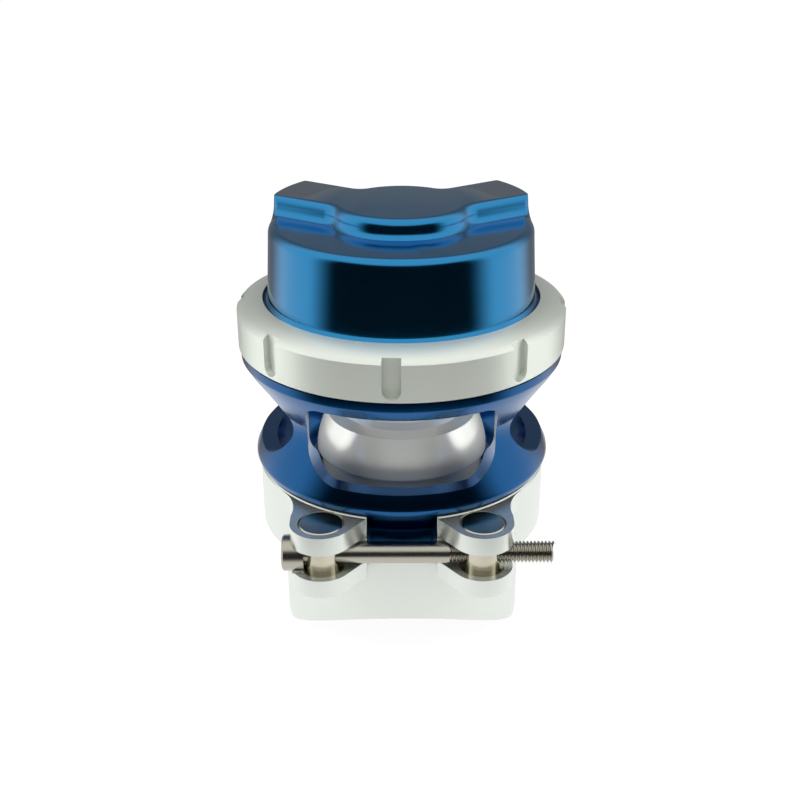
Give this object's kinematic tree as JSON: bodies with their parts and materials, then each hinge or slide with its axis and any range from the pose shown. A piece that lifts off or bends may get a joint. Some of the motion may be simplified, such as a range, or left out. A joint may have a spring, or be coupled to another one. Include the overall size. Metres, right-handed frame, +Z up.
{
  "type": "blow-off valve",
  "caption": "Boost-pressure vent valve with a swept-knob cap, threaded collar, waisted vent cage, spherical valve and a two-piece screw clamp on a weld-on pipe saddle.",
  "frame": {"origin": "on the valve's axis at the crown of the intake pipe under the saddle", "axes": "+Z up along the valve's axis away from the pipe, +Y along the pipe towards the signal port, clamp screw along X in front at -Y"},
  "size_m": [0.094, 0.1036, 0.1314],
  "materials": {
    "blue_anodised": "anodised blue, satin",
    "silver_anodised": "clear anodised, satin",
    "machined_aluminium": "fine turned, bright",
    "stainless": "bright drawn",
    "nickel_plated": "nickel plated",
    "spring_steel": "oiled spring wire",
    "bronze": "plain bronze",
    "rubber": "matt black rubber"
  },
  "bodies": {
    "housing": {"weld_flange": "machined_aluminium", "valve_seat": "stainless", "base_o_ring": "rubber", "valve_body": "blue_anodised", "guide_bush": "bronze", "neck_seal": "rubber", "collar": "silver_anodised", "diaphragm": "rubber", "outer_spring": "spring_steel", "inner_spring": "spring_steel", "hinge_link_upper": "stainless", "hinge_link_lower": "stainless", "hinge_pin_left": "stainless", "hinge_pin_right": "stainless"},
    "cap": {"cap": "blue_anodised"},
    "valve": {"valve": "machined_aluminium", "lower_plate": "silver_anodised", "upper_plate": "silver_anodised", "stem_bolt": "stainless", "stem_washer": "stainless", "stem_nut": "stainless"},
    "clamp_left": {"clamp_half_left": "silver_anodised"},
    "clamp_right": {"clamp_half_right": "silver_anodised"},
    "barrel_left": {"barrel_plain": "nickel_plated"},
    "barrel_right": {"barrel_threaded": "nickel_plated"},
    "screw": {"clamp_screw": "stainless"}
  },
  "joints": [
    {"name": "valve_lift", "type": "slide", "parent": "housing", "child": "valve", "axis": [0, 0, 1], "range_m": [0, 0.012], "stiffness_N_per_m": 9000, "springref_m": -0.004, "deforming": ["outer_spring", "inner_spring", "diaphragm"]},
    {"name": "cap_turn", "type": "hinge", "parent": "housing", "child": "cap", "pos_m": [0, 0, 0.09], "axis": [0, 0, 1], "continuous": true},
    {"name": "clamp_open_left", "type": "hinge", "parent": "housing", "child": "clamp_left", "pos_m": [-0.0075, 0.0475, 0.0269], "axis": [0, 0, -1], "range_deg": [0, 3.5]},
    {"name": "clamp_open_right", "type": "hinge", "parent": "housing", "child": "clamp_right", "pos_m": [0.0075, 0.0475, 0.0269], "axis": [0, 0, -1], "range_deg": [-3.5, 0]},
    {"name": "barrel_turn_left", "type": "hinge", "parent": "clamp_left", "child": "barrel_left", "pos_m": [-0.022, -0.0432, 0.0269], "axis": [0, 0, -1], "range_deg": [-3.5, 0]},
    {"name": "barrel_turn_right", "type": "hinge", "parent": "clamp_right", "child": "barrel_right", "pos_m": [0.022, -0.0432, 0.0269], "axis": [0, 0, -1], "range_deg": [0, 3.5]},
    {"name": "screw_turn", "type": "hinge", "parent": "barrel_left", "child": "screw", "pos_m": [0, -0.0432, 0.0269], "axis": [1, 0, 0], "continuous": true}
  ],
  "couplings": [
    {"joint": "clamp_open_right", "follows": "clamp_open_left", "ratio": -1},
    {"joint": "barrel_turn_left", "follows": "clamp_open_left", "ratio": -1},
    {"joint": "barrel_turn_right", "follows": "clamp_open_left", "ratio": 1}
  ]
}
